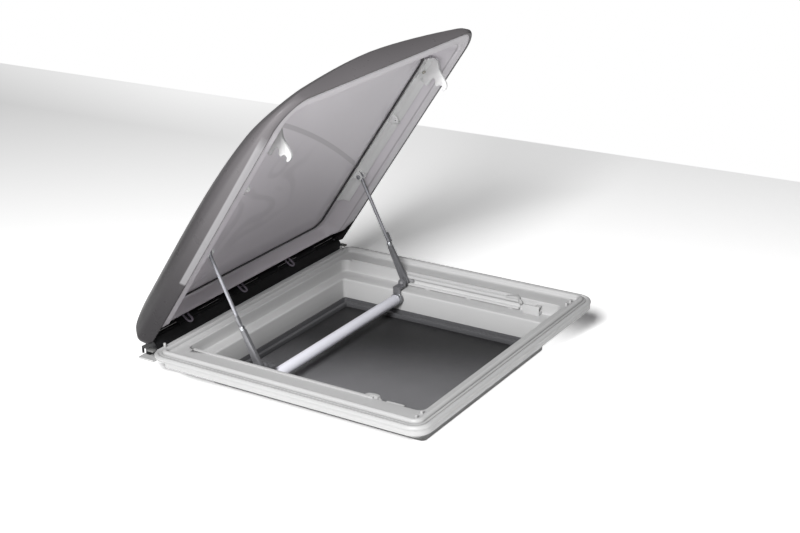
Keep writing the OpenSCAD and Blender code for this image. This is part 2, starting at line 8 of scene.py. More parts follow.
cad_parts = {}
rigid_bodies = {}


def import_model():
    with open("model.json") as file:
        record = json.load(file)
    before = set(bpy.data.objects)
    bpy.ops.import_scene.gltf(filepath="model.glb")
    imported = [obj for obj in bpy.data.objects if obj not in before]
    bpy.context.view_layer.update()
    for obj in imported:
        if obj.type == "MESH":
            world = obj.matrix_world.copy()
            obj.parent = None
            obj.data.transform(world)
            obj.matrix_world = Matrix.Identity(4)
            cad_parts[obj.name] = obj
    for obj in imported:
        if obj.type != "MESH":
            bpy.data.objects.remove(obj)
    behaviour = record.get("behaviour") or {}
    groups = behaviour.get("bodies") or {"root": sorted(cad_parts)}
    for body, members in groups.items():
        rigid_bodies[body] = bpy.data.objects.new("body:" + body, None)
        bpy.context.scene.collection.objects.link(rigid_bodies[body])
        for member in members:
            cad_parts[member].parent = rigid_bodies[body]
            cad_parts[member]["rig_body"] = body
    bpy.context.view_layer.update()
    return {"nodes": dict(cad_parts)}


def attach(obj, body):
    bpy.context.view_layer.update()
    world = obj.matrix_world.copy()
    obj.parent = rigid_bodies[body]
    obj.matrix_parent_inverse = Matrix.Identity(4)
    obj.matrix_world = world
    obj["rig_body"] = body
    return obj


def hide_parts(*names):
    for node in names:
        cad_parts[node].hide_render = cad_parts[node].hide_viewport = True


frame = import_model()
scene = bpy.context.scene

MM = 0.001

# Sizes in mm: X and Y are half sizes, R is a corner radius, T a thickness, Z a height

SKIRT_X, SKIRT_Y, SKIRT_R = 265, 247.5, 28
DECK_X, DECK_Y, DECK_R, DECK_Z = 210, 214, 12, 24
COLLAR_X, COLLAR_Y, COLLAR_R, COLLAR_T = 178, 193.5, 6, 3
TROUGH_Z = 3
FOOT_Z = -43.2
SCREEN_X, SCREEN_Y, SCREEN_Z, SCREEN_SAG = 167, 182.5, -41.35, 0.12
# the closed dome, with the y of its front and rear edges
DOME_X, DOME_Z, DOME_Y0, DOME_Y1, PANE_Y1 = 252, 32.4, -250.5, 258, 249
DOME_R, REAR_R, LEAST_R, DOME_T, PANE_T = 48, 12, 20, 3, 2.2
# how much of an inset the pane's rear edge takes
PANE_REAR = 0.55
# where the dome's lower edge rises to REAR_Z over the hinge
REAR_Z, RISE_Y, RISE_LONG, RISE_X, RISE_WIDE = 48, 214, 34, 251.4, 4
# the dome has its full height behind FULL_Y and falls off in front of it
FULL_Y, FALL_LONG = 120, 370

OPEN = math.radians(55)
HINGE = Vector((0, 256.5, 42)) * MM
# turns the closed dome to where it lies in the rest pose, which is open
opened = (Matrix.Translation(HINGE) @ Matrix.Rotation(-OPEN, 4, "X")
          @ Matrix.Translation(-HINGE))


# Camera: same place and lens as the photograph

camera = bpy.data.objects.new("camera", bpy.data.cameras.new("camera"))
scene.collection.objects.link(camera)
camera.data.sensor_fit = "HORIZONTAL"
camera.data.sensor_width = 36
camera.data.lens = 69.09
camera.data.clip_end = 50
camera.location = (-1.8087, -1.2551, 1.0072)
camera.rotation_euler = [math.radians(angle) for angle in (68.1315, 1.7323, -56.8783)]
scene.camera = camera
scene.view_settings.view_transform = "Standard"


# Materials

def linear(r, g, b):
    """Linear colour from the sRGB values 0 to 255."""
    values = (c / 255 for c in (r, g, b))
    return tuple(c / 12.92 if c <= 0.04045 else ((c + 0.055) / 1.055) ** 2.4 for c in values) + (1,)


def grey(v):
    return linear(v, v, v)


def scaled(colour, k):
    return tuple(min(1, c * k) for c in colour[:3]) + (1,)


BLACK = (0, 0, 0, 1)


class Nodes:
    """Short ways to make and join shader nodes."""

    def __init__(self, name):
        self.material = bpy.data.materials.new(name)
        self.material.use_nodes = True
        self.tree = self.material.node_tree
        self.shader = self.tree.nodes["Principled BSDF"]
        self.output = self.tree.nodes["Material Output"]
        coords = self.tree.nodes.new("ShaderNodeTexCoord")
        self.place = coords.outputs["Object"]

    def close_dome(self):
        """From here on a place on the dome is read as it lies with the dome closed."""
        turn = self.add("Mapping")
        back = opened.inverted()
        turn.inputs["Rotation"].default_value = back.to_euler()
        turn.inputs["Location"].default_value = back.translation
        self.join(self.place, turn.inputs["Vector"])
        self.place = turn.outputs["Vector"]

    def add(self, kind, **values):
        node = self.tree.nodes.new("ShaderNode" + kind)
        for key, value in values.items():
            setattr(node, key, value)
        return node

    def join(self, a, b):
        self.tree.links.new(a, b)

    def noise(self, scale, detail, rough=0.55, distortion=0.0, place=None):
        node = self.add("TexNoise")
        node.inputs["Scale"].default_value = scale
        node.inputs["Detail"].default_value = detail
        node.inputs["Roughness"].default_value = rough
        node.inputs["Distortion"].default_value = distortion
        self.join(place or self.place, node.inputs["Vector"])
        return node.outputs["Fac"]

    def span(self, value, lo, hi, a=0.0, b=1.0, smooth=False):
        node = self.add("MapRange")
        if smooth:
            node.interpolation_type = "SMOOTHSTEP"
        for key, number in zip(("From Min", "From Max", "To Min", "To Max"), (lo, hi, a, b)):
            node.inputs[key].default_value = number
        self.join(value, node.inputs["Value"])
        return node.outputs["Result"]

    def maths(self, operation, a, b=None):
        node = self.add("Math", operation=operation)
        for i, value in enumerate((a, b)):
            if value is None:
                continue
            if isinstance(value, (int, float)):
                node.inputs[i].default_value = value
            else:
                self.join(value, node.inputs[i])
        return node.outputs["Value"]

    def product(self, *values):
        out = values[0]
        for value in values[1:]:
            out = self.maths("MULTIPLY", out, value)
        return out

    def length(self, a, b):
        return self.maths("SQRT", self.maths("ADD", self.product(a, a), self.product(b, b)))

    def mix(self, share, a, b):
        node = self.add("Mix", data_type="RGBA")
        # the sockets of the share and of the two colours
        for key, value in ((0, share), (6, a), (7, b)):
            if isinstance(value, (int, float, tuple)):
                node.inputs[key].default_value = value
            else:
                self.join(value, node.inputs[key])
        return node.outputs[2]

    def bump(self, height, distance, strength, normal=None):
        node = self.add("Bump")
        node.inputs["Distance"].default_value = distance
        node.inputs["Strength"].default_value = strength
        self.join(height, node.inputs["Height"])
        if normal is not None:
            self.join(normal, node.inputs["Normal"])
        return node.outputs["Normal"]


def moulded(name, colour, rough, vary, cloud, grain, depth, metallic=0.0, specular=0.5):
    """Moulded or plated surface: cloudy tone, uneven gloss and a fine grain depth mm deep."""
    n = Nodes(name)
    tone = n.noise(cloud, 4)
    n.join(n.mix(n.span(tone, 0.3, 0.7), scaled(colour, 1 - vary), scaled(colour, 1 + vary)),
           n.shader.inputs["Base Color"])
    gloss = n.noise(cloud * 6, 5, 0.6)
    n.join(n.span(gloss, 0.3, 0.7, rough[0], rough[1]), n.shader.inputs["Roughness"])
    fine = n.noise(grain, 2)
    soft = n.noise(cloud * 3, 2)
    n.join(n.bump(fine, depth * MM, 0.6, n.bump(soft, 0.3 * MM, 0.25)), n.shader.inputs["Normal"])
    n.shader.inputs["Metallic"].default_value = metallic
    n.shader.inputs["Specular IOR Level"].default_value = specular
    return n.material


def brushed(name, colour, rough, scale, metallic):
    """Drawn steel: fine lines along the rod."""
    n = Nodes(name)
    stretch = n.add("Mapping")
    stretch.inputs["Scale"].default_value = scale
    n.join(n.place, stretch.inputs["Vector"])
    lines = n.noise(1, 4, 0.6, place=stretch.outputs["Vector"])
    n.join(n.mix(n.span(lines, 0.3, 0.7), scaled(colour, 0.88), scaled(colour, 1.08)),
           n.shader.inputs["Base Color"])
    n.join(n.span(lines, 0.3, 0.7, rough[0], rough[1]), n.shader.inputs["Roughness"])
    n.join(n.bump(lines, 0.02 * MM, 0.5), n.shader.inputs["Normal"])
    n.shader.inputs["Metallic"].default_value = metallic
    return n.material


def let_light_through(n, share):
    """Part of the light that falls on tinted acrylic goes on through it."""
    clear = n.add("BsdfTransparent")
    clear.inputs["Color"].default_value = (share, share, share, 1)
    path = n.add("LightPath")
    both = n.add("MixShader")
    n.join(path.outputs["Is Shadow Ray"], both.inputs[0])
    n.join(n.shader.outputs["BSDF"], both.inputs[1])
    n.join(clear.outputs["BSDF"], both.inputs[2])
    n.join(both.outputs["Shader"], n.output.inputs["Surface"])


def separate(n):
    parts = n.add("SeparateXYZ")
    n.join(n.place, parts.inputs["Vector"])
    return [parts.outputs[axis] for axis in "XYZ"]


def band(n, value, middle, half, soft):
    """1 where a value is within half of the middle, falling to 0 over soft."""
    away = n.maths("ABSOLUTE", n.maths("SUBTRACT", value, middle))
    return n.span(away, half, half + soft, 1, 0, True)


# the white rails are painted in as light through the lower edge of the closed dome: each pair, in
# metres, is where they start to show and where they show fully
RAIL_SIDE, RAIL_FRONT, RAIL_REAR, RAIL_TOP = (
    (0.2475, 0.2495), (-0.19, -0.165), (0.118, 0.114), (0.041, 0.0395))


def painted_rail_view_share(n, x, y, z):
    """Where the left and right white rails are painted in, as light that shows through the acrylic."""
    return n.product(n.span(n.maths("ABSOLUTE", x), *RAIL_SIDE), n.span(y, *RAIL_FRONT),
                     n.span(y, *RAIL_REAR), n.span(z, *RAIL_TOP))


def dome_material():
    """Smoked acrylic from outside: dark, with painted sheen that makes it a little paler towards the
    front and painted light that makes it paler at the thin lower edge.
    """
    n = Nodes("smoked_dome")
    n.close_dome()
    x, y, z = separate(n)
    cloud = n.noise(4, 3)
    fine = n.noise(60, 4, 0.6)
    # painted sheen: paler towards the front
    front_painted_light = n.span(y, 0.26, -0.25, 0, 1, True)
    tone = n.mix(front_painted_light, DOME_DARK, DOME_PAINTED_SHEEN)
    tone = n.mix(n.span(cloud, 0.3, 0.7, 0, 0.12), tone, BLACK)
    # painted light: paler at the thin lower edge, darker higher up
    tone = n.mix(n.span(z, 0.036, 0.1, 0, 0.5), tone, BLACK)
    # painted light: the white rails seen through the acrylic
    tone = n.mix(n.product(painted_rail_view_share(n, x, y, z), 0.55), tone, PAINTED_RAIL_VIEW)
    n.join(tone, n.shader.inputs["Base Color"])
    n.join(n.span(fine, 0.3, 0.7, 0.26, 0.34), n.shader.inputs["Roughness"])
    n.join(n.bump(cloud, 0.5 * MM, 0.2, n.bump(fine, 0.01 * MM, 0.3)), n.shader.inputs["Normal"])
    n.shader.inputs["Specular IOR Level"].default_value = 0.12
    let_light_through(n, 0.1)
    return n.material


# lines on the pane, in mm in from its edge
LIP, SLOPE_FOOT, SLOPE_TOP = 6.5, 27, 66
# middle of the painted reflection swirls near the hinge, in metres with the dome closed, and how many
# lines they have
SWIRL_X, SWIRL_Y, SWIRL_LINES = -0.075, 0.06, 44
# the soft band, a painted reflection, follows y = BAND_Y + BAND_SLOPE x + BAND_BEND x x, in metres,
# and fades out at its left and right ends
BAND_Y, BAND_SLOPE, BAND_BEND = -0.0592, 0.618, 0.24
BAND_LEFT, BAND_RIGHT = (-0.172, -0.166), (0.184, 0.176)


def level_distance(n, x, y, inset):
    """Distance in metres from the rounded line that lies inset mm in from the edge of the pane."""
    r = max(LEAST_R, DOME_R - inset)
    low, high = DOME_Y0 + inset, PANE_Y1 - PANE_REAR * inset
    middle, half = (low + high) / 2, (high - low) / 2
    from_middle = n.maths("ABSOLUTE", n.maths("SUBTRACT", y, middle * MM))
    qx = n.maths("SUBTRACT", n.maths("ABSOLUTE", x), (DOME_X - inset - r) * MM)
    qy = n.maths("SUBTRACT", from_middle, (half - r) * MM)
    out = n.length(n.maths("MAXIMUM", qx, 0), n.maths("MAXIMUM", qy, 0))
    inside = n.maths("MINIMUM", n.maths("MAXIMUM", qx, qy), 0)
    return n.maths("SUBTRACT", n.maths("ADD", out, inside), r * MM)


def swirl_reflection_share(n, x, y, slow):
    """Painted reflections: contour lines of a slow noise, fading out from a place near the hinge."""
    rings = n.span(n.maths("SINE", n.product(slow, SWIRL_LINES)), -0.4, 1, 0, 1, True)
    away = n.length(n.maths("SUBTRACT", x, SWIRL_X), n.maths("SUBTRACT", y, SWIRL_Y))
    return n.product(rings, n.span(away, 0.05, 0.15, 1, 0, True))


def reflected_band_share(n, x, y):
    """A painted reflection: a soft dark band that runs across the pane in a slight bend."""
    line = n.maths("ADD", n.product(x, BAND_SLOPE), n.product(x, x, BAND_BEND))
    painted_light_across = band(n, n.maths("SUBTRACT", y, line), BAND_Y, half=0.0035, soft=0.0022)
    return n.product(painted_light_across, n.span(x, *BAND_LEFT), n.span(x, *BAND_RIGHT))


def rim_share(n, x, y):
    """The part of the pane outside the gasket, near the hinge."""
    top = level_distance(n, x, y, SLOPE_TOP)
    return n.product(n.span(top, -0.03, -0.012, 0, 1, True), n.span(y, 0.02, 0.16, 0, 1, True))


def bend_shade_share(n, x, y):
    """Thin lines of painted shade where the sheet bends: at the foot of the slope and at the lip."""
    foot = band(n, level_distance(n, x, y, SLOPE_FOOT), 0, half=0.0005, soft=0.0012)
    lip = band(n, level_distance(n, x, y, LIP), 0, half=0.0004, soft=0.001)
    return n.maths("MAXIMUM", foot, n.product(lip, 0.6))


def pane_material():
    """Pale smoked acrylic with an even slope of tone, painted reflections as swirls and a soft band,
    and painted shade in bend lines.
    """
    n = Nodes("smoked_pane")
    n.close_dome()
    x, y = separate(n)[:2]
    slow = n.noise(5.5, 1.5, 0.4, 0.9)
    slope = n.maths("SUBTRACT", n.product(x, 0.8), y)
    tone = n.mix(n.span(slope, -0.3, 0.26), PANE_DARK, PANE_PALE)
    # painted reflections (swirls, soft band) and painted shade (bend lines) darken the tone, as does
    # the rim near the hinge
    for share, strength, dark in (
            (swirl_reflection_share(n, x, y, slow), 0.2, 0.45), (reflected_band_share(n, x, y), 0.5, 0.5),
            (rim_share(n, x, y), 0.3, 0.5), (bend_shade_share(n, x, y), 0.45, 0.3)):
        tone = n.mix(n.product(share, strength), tone, scaled(PANE_DARK, dark))
    n.join(tone, n.shader.inputs["Base Color"])
    fine = n.noise(45, 4, 0.6)
    n.join(n.span(fine, 0.3, 0.7, 0.28, 0.32), n.shader.inputs["Roughness"])
    n.join(n.bump(slow, 0.5 * MM, 0.2, n.bump(fine, 0.004 * MM, 0.2)), n.shader.inputs["Normal"])
    n.shader.inputs["Specular IOR Level"].default_value = 0.4
    let_light_through(n, 0.45)
    return n.material


def woven(name, dark, light, pitch):
    """Fine screen cloth: crossing threads with small dark meshes between them, and painted shade
    towards the rear and the right.
    """
    n = Nodes(name)
    x, y = separate(n)[:2]
    waves = [n.maths("ABSOLUTE", n.maths("SINE", n.product(v, 2 * math.pi / pitch)))
             for v in (x, y)]
    threads = n.maths("MAXIMUM", *waves)
    cloud = n.noise(6, 3)
    # painted shade: darker towards the rear and the right
    painted_light_across = n.maths("ADD", x, n.product(y, 0.35))
    tone = n.mix(n.span(cloud, 0.3, 0.7), scaled(light, 0.9), scaled(light, 1.1))
    tone = n.mix(n.span(painted_light_across, -0.12, 0.12, 0, 0.88, True), tone, BLACK)
    n.join(n.mix(n.span(threads, 0.35, 0.75), dark, tone), n.shader.inputs["Base Color"])
    n.join(n.span(threads, 0.3, 0.9, 0.75, 0.5), n.shader.inputs["Roughness"])
    n.join(n.bump(threads, 0.15 * MM, 0.5), n.shader.inputs["Normal"])
    n.shader.inputs["Specular IOR Level"].default_value = 0.3
    return n.material


# moulded takes a name, a colour, the roughness from and to, how much the tone varies, the scale
# of the clouds, the scale and the depth in mm of the grain, and for metals how metallic they are
mat_frame = moulded("frame_plastic", grey(176), (0.42, 0.55), 0.03, 5, 1400, 0.02)
mat_guide = moulded("guide_plastic", grey(182), (0.38, 0.5), 0.03, 9, 1400, 0.02)
mat_white = moulded("white_plastic", grey(174), (0.35, 0.48), 0.03, 12, 1600, 0.02)
# lit copies of the white plastic: painted light on the dome rails and claws, which light through the
# dome makes bright
mat_lit_rail = moulded("rail_white_painted_light", grey(240), (0.35, 0.48), 0.03, 12, 1600, 0.02)
mat_lit_claw = moulded("claw_white_painted_light", grey(192), (0.4, 0.5), 0.03, 12, 1600, 0.02)
mat_seal = moulded("seal_strip", grey(164), (0.7, 0.85), 0.08, 20, 2200, 0.05)
mat_foam = moulded("roof_foam", grey(38), (0.85, 0.95), 0.15, 30, 700, 0.25, specular=0.2)
mat_zinc = moulded("plated_steel", linear(170, 172, 175), (0.28, 0.45), 0.08, 14, 500, 0.02, 1.0)
mat_screw = moulded("screw_steel", linear(170, 166, 158), (0.2, 0.35), 0.08, 30, 900, 0.01, 1.0)
mat_tray = moulded("tray_plastic", linear(72, 72, 74), (0.4, 0.55), 0.06, 8, 1200, 0.03)
mat_black = moulded("black_profile", linear(18, 18, 19), (0.35, 0.5), 0.15, 9, 1000, 0.02, specular=0.3)
mat_pad = moulded("pad_grey", linear(105, 105, 104), (0.6, 0.75), 0.1, 20, 1500, 0.04)
mat_gasket = moulded("gasket", linear(58, 55, 58), (0.5, 0.65), 0.1, 20, 1500, 0.03)
mat_lever = moulded("lever_zinc", linear(124, 124, 127), (0.3, 0.45), 0.1, 18, 700, 0.03, 0.55)
mat_rod = brushed("rod_steel", linear(150, 150, 155), (0.36, 0.46), (900, 90, 60), 0.7)
mat_bar = moulded("bar_white", linear(214, 214, 222), (0.4, 0.52), 0.03, 10, 1800, 0.03)
mat_shoe = moulded("shoe_plastic", linear(136, 136, 138), (0.45, 0.6), 0.1, 20, 1200, 0.03)
mat_clip = moulded("clip_smoked", linear(112, 106, 116), (0.15, 0.3), 0.12, 30, 900, 0.02)
# the smoked dome, and the painted sheen towards its front
DOME_DARK, DOME_PAINTED_SHEEN = linear(46, 44, 46), linear(112, 109, 111)
# painted light: the white rails as seen through the dome
PAINTED_RAIL_VIEW = linear(170, 169, 171)
PANE_DARK, PANE_PALE = linear(226, 220, 226), linear(232, 228, 233)
mat_dome = dome_material()
mat_pane = pane_material()
mat_mesh = woven("mesh", linear(22, 22, 23), linear(118, 118, 120), 1.6 * MM)


# Mesh helpers

# points closer than WELD mm join, and faces that meet within FLAT degrees become one
WELD, FLAT = 0.002, 1.5
# how far rounding may push a piece out of its CAD box, in mm
MOST_GROWN = 0.02


def new_object(name, mesh):
    obj = bpy.data.objects.new(name, mesh)
    scene.collection.objects.link(obj)
    return obj


def shade(mesh, angle):
    mesh.polygons.foreach_set("use_smooth", [True] * len(mesh.polygons))
    mesh.set_sharp_from_angle(angle=math.radians(angle))


def dress(obj, body, material, node):
    obj.data.materials.clear()
    obj.data.materials.append(material)
    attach(obj, body)
    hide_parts(node)


def settle(obj):
    """Applies the modifiers of a new object to its mesh."""
    graph = bpy.context.evaluated_depsgraph_get()
    mesh = bpy.data.meshes.new_from_object(obj.evaluated_get(graph))
    old = obj.data
    obj.modifiers.clear()
    obj.data = mesh
    bpy.data.meshes.remove(old)


def round_edges(obj, width, angle=30):
    bevel = obj.modifiers.new("edges", "BEVEL")
    bevel.width = width * MM
    bevel.segments = 2
    bevel.limit_method = "ANGLE"
    bevel.angle_limit = math.radians(angle)
    bevel.use_clamp_overlap = True
    settle(obj)


def box_of(mesh):
    axes = zip(*(v.co for v in mesh.vertices))
    return [(min(values), max(values)) for values in axes]


def soften(node, material, width):
    """Copy of a CAD node with rounded edges, in its place.

    Where the full width would push a corner out of the node's box, the edges get less, or none."""
    source = frame["nodes"][node]
    mesh = source.data.copy()
    if "custom_normal" in mesh.attributes:
        mesh.attributes.remove(mesh.attributes["custom_normal"])
    bm = bmesh.new()
    bm.from_mesh(mesh)
    bmesh.ops.remove_doubles(bm, verts=bm.verts, dist=WELD * MM)
    bmesh.ops.dissolve_limit(bm, angle_limit=math.radians(FLAT), verts=bm.verts, edges=bm.edges)
    bm.to_mesh(mesh)
    bm.free()
    obj = new_object(node + "_piece", mesh)
    box = box_of(mesh)
    for share in (1, 0.6, 0.3, 0.1):
        obj.data = mesh.copy()
        round_edges(obj, width * share)
        grown = max(max(b[0] - a[0], a[1] - b[1]) for a, b in zip(box_of(obj.data), box))
        if grown < MOST_GROWN * MM:
            break
    else:
        obj.data = mesh.copy()
    shade(obj.data, 28)
    dress(obj, source["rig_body"], material, node)


def level(hx, y0, y1, front_r, rear_r, corner, side):
    """One round-cornered level, counter-clockwise from above, in mm."""
    corners = [(hx - rear_r, y1 - rear_r, rear_r), (rear_r - hx, y1 - rear_r, rear_r),
               (front_r - hx, y0 + front_r, front_r), (hx - front_r, y0 + front_r, front_r)]

    def at(k, degrees):
        x, y, r = corners[k % 4]
        a = math.radians(degrees)
        return Vector((x + r * math.cos(a), y + r * math.sin(a)))

    points = []
    for k in range(4):
        start, end = at(k, 90 * (k + 1)), at(k + 1, 90 * (k + 1))
        points += [at(k, 90 * (k + i / corner)) for i in range(corner + 1)]
        points += [start.lerp(end, i / side) for i in range(1, side)]
    return points


def skin(name, loops, closed=False):
    """Mesh over loops of equal length; with closed the last joins the first."""
    n = len(loops[0])
    m = len(loops)
    faces = []
    for k in range(m if closed else m - 1):
        a, b = k * n, (k + 1) % m * n
        for i in range(n):
            j = (i + 1) % n
            faces.append((a + i, a + j, b + j, b + i))
    mesh = bpy.data.meshes.new(name)
    mesh.from_pydata([Vector(p) * MM for loop in loops for p in loop], [], faces)
    return mesh


def boxes(mesh, cubes):
    """Adds boxes to a mesh, each given by its low and its high corner in mm."""
    bm = bmesh.new()
    bm.from_mesh(mesh)
    for low, high in cubes:
        low, high = Vector(low) * MM, Vector(high) * MM
        made = bmesh.ops.create_cube(bm, size=1)
        for v in made["verts"]:
            v.co = Vector(low[i] if v.co[i] < 0 else high[i] for i in range(3))
    bm.to_mesh(mesh)
    bm.free()


# Frame

def even_level(hx, hy, r, z):
    """Level with the same radius at all four corners."""
    return [(p.x, p.y, z) for p in level(hx, -hy, hy, r, r, corner=12, side=8)]


def rim_level(o, z):
    """Level of the rim, o mm in from the widest line of the skirt."""
    return even_level(SKIRT_X - o, SKIRT_Y - o, max(1.5, SKIRT_R - o), z)


def arc(cx, cz, r, a0, a1, n):
    """Points of a rounded edge in n steps, from angle a0 to a1 in degrees."""
    angles = [math.radians(a0 + (a1 - a0) * i / n) for i in range(n + 1)]
    return [(cx - r * math.cos(a), cz + r * math.sin(a)) for a in angles]


def both_sides(low, high):
    """A box on the +X side and its mirror image."""
    return [(low, high), ((-high[0], low[1], low[2]), (-low[0], high[1], high[2]))]


def cut_steps(obj):
    """Cuts the lower skirt back beside the hinge, and a slot into each side of the deck."""
    steps = bpy.data.meshes.new("steps")
    beside_hinge = both_sides((250, 212, 11), (267, 249.5, 19.5))
    deck_slots = both_sides((205, 198, 18), (223, 202, 28))
    boxes(steps, beside_hinge + deck_slots)
    tool = new_object("steps", steps)
    cut = obj.modifiers.new("steps", "BOOLEAN")
    cut.operation = "DIFFERENCE"
    cut.solver = "EXACT"
    cut.object = tool
    settle(obj)
    bpy.data.objects.remove(tool)


def rim_loops():
    """From the lower edge of the skirt over the seal channel and the bead down to the deck."""
    skirt = [(3.6, 13), (3.1, 12.3), (2.4, 12), (1.9, 12.1), (1.5, 12.7), (1.4, 13.6), (1.3, 17),
             (1.25, 19.9)]
    rolled_edge = arc(4, 23.5, 4, -44, 148, 16)
    channel = [(8.3, 25.45), (10.5, 25.4), (12.2, 25.45)]
    bead = arc(17, 27.5, 4.5, -24, 188, 18)
    slope = [(21.7, 26.4), (22.6, 25.4), (24, 24.5), (26, 24.05), (28, DECK_Z)]
    return [rim_level(o, z) for o, z in skirt + rolled_edge + channel + bead + slope]


def trough_loops():
    """From the deck down into the trough, as (distance out from the deck opening, height)."""
    rows = [(2, DECK_Z), (0.9, 23.8), (0.25, 23.2), (0, 22.2), (0, 14), (0, 5.4), (-0.3, 4.2),
            (-1.2, 3.3), (-2.6, TROUGH_Z)]
    loops = [even_level(DECK_X + o, DECK_Y + o, DECK_R + o, z) for o, z in rows]
    return loops + [even_level(195, 204, 8.6, TROUGH_Z), even_level(181.4, 196.9, 8.6, TROUGH_Z)]


def collar_loops():
    """Down the inside of the collar and up its outside, as (distance out, height)."""
    t = COLLAR_T
    rows = [(1.6, 2.6), (0.4, 1.5), (0, 0), (0, -16), (0, FOOT_Z + 1), (0.4, FOOT_Z + 0.2),
            (t / 2, FOOT_Z), (t - 0.4, FOOT_Z + 0.2), (t, FOOT_Z + 1), (t, -0.6), (t + 0.6, 0)]
    return [even_level(COLLAR_X + o, COLLAR_Y + o, COLLAR_R + o, z) for o, z in rows]


def web_loops():
    """Under the flange and up the hollow between the inner web and the skirt."""
    rows = [(40, 0), (20.6, 0), (20, 0.6), (20, 22), (19.4, 22.6), (4.4, 22.6), (3.8, 22), (3.6, 17)]
    return [rim_level(o, z) for o, z in rows]


def ribs():
    """Ribs across the hollow of the skirt, and the lips along both sides of the deck."""
    low, high, half = 12.5, 22.7, 1
    out = []
    for x in range(-200, 201, 80):
        out += [((x - half, 226.5, low), (x + half, 245.4, high)),
                ((x - half, -245.4, low), (x + half, -226.5, high))]
    for y in range(-180, 181, 72):
        out += both_sides((244, y - half, low), (262.9, y + half, high))
    return out + both_sides((DECK_X, -132, 23), (DECK_X + 3, 198, 26.6))


def frame_shell():
    mesh = skin("frame_shell", rim_loops() + trough_loops() + collar_loops() + web_loops(), True)
    boxes(mesh, ribs())
    obj = new_object("frame_shell", mesh)
    cut_steps(obj)
    mesh = obj.data
    shelf = ((-258, 241.5, 12), (258, 271.5, 15))
    boxes(mesh, [shelf])
    shade(mesh, 40)
    dress(obj, "frame", mat_frame, "outer_frame")


frame_shell()


# Dome

def clamp(v):
    return min(1, max(0, v))


def smooth(t):
    return t * t * (3 - 2 * t)


def edge_z(x, y):
    """Height of the dome's lower edge, which rises over the hinge."""
    towards_rear = smooth(clamp((y - RISE_Y) / RISE_LONG))
    between_sides = smooth(clamp((RISE_X - abs(x)) / RISE_WIDE))
    return DOME_Z + (REAR_Z - DOME_Z) * towards_rear * between_sides


def fullness(x, y):
    """Share of the full height, lower towards the front and its corners."""
    t = clamp((FULL_Y - y) / FALL_LONG)
    middle_drop, corner_drop = 0.17 * t ** 2.1, 0.66 * t ** 3.7
    return 1 - middle_drop - corner_drop * (abs(x) / DOME_X) ** 1.65


def surface(rows, t, y1, share, grow, rear, low_r):
    """Loops of one skin of a sheet, t mm through its thickness from the rows.

    A row holds the inset, the height, the direction of the thickness (inwards and up) and the
    height above the edge over the hinge. y1 is the rear edge, share how far the height follows
    the fullness, grow how fast the corners grow with the inset, rear how much of the inset the
    rear takes, and low_r the least radius of the rear corners."""
    loops = []
    for inset, height, inwards, up, over_edge in rows:
        e = inset + t * inwards
        most = DOME_X - e - 1
        front_r = min(most, max(LEAST_R, DOME_R + grow * max(0, e)))
        rear_r = min(most, max(low_r, REAR_R + grow * max(0, e)))
        low = DOME_Y0 + (t * inwards if inset < 0 else e) + 0.05 * height
        loop = []
        for p in level(DOME_X - e, low, y1 - e * rear, front_r, rear_r, corner=14, side=16):
            full = 1 - share * (1 - fullness(p.x, p.y))
            # the greater of the two heights, with a soft passage between them
            a, b = DOME_Z + height * full, edge_z(p.x, p.y) + over_edge
            k = min(3, 0.2 * height)
            z = (a + b + math.sqrt((a - b) ** 2 + k * k)) / 2
            loop.append((p.x, p.y, z + t * up))
        loops.append(loop)
    return loops


def finer(rows, steps):
    """Smooth rows between the given ones."""
    out = []
    last = len(rows) - 1
    for k in range(last):
        p0, p1, p2, p3 = (rows[min(last, max(0, k + d))] for d in (-1, 0, 1, 2))
        for i in range(steps):
            t = i / steps
            out.append([
                0.5 * (2 * b + (c - a) * t + (2 * a - 5 * b + 4 * c - d) * t * t
                       + (3 * b - a - 3 * c + d) * t ** 3)
                for a, b, c, d in zip(p0, p1, p2, p3)])
    out.append(list(rows[last]))
    return out


def shell(name, top, bottom):
    """Closed shell between an upper and a lower surface."""
    n = len(top[0])
    mesh = skin(name, list(reversed(bottom)) + top)
    bm = bmesh.new()
    bm.from_mesh(mesh)
    made = list(bm.verts)
    for ring, flip in ((made[:n], True), (made[-n:], False)):
        centre = bm.verts.new(sum((v.co for v in ring), Vector()) / n)
        for i in range(n):
            a, b = ring[i], ring[(i + 1) % n]
            bm.faces.new((b, a, centre) if flip else (a, b, centre))
    bm.to_mesh(mesh)
    bm.free()
    return mesh


# inset, height, inwards, up and height above the edge over the hinge, as surface takes them
OUTER = [(0, 0, 1, 0, 0), (-5.2, 8, 1, 0, 1.2), (-8, 20, 1, -0.1, 3.2), (-4.8, 30, 0.9, -0.5, 6),
         (0.6, 39, 0.7, -0.8, 9), (10, 47, 0.4, -0.95, 12), (24, 55, 0.3, -1, 15),
         (46, 63.5, 0.2, -1, 18), (78, 72, 0.1, -1, 21), (118, 79.5, 0.05, -1, 22),
         (162, 84.5, 0.02, -1, 23), (206, 87, 0, -1, 24), (240, 88, 0, -1, 25)]
PANE = [(4.2, 0.4, 0, 1, 0.4), (16, 1.4, 0, 1, 0.9), (27, 4.1, -0.4, 0.9, 1.4),
        (45, 25.6, -0.3, 1, 3.4), (52, 28.6, -0.1, 1, 6.5), (64, 30.2, 0, 1, 9),
        (100, 33.6, 0, 1, 12), (150, 36.6, 0, 1, 14), (200, 38.2, 0, 1, 15), (240, 38.6, 0, 1, 16)]


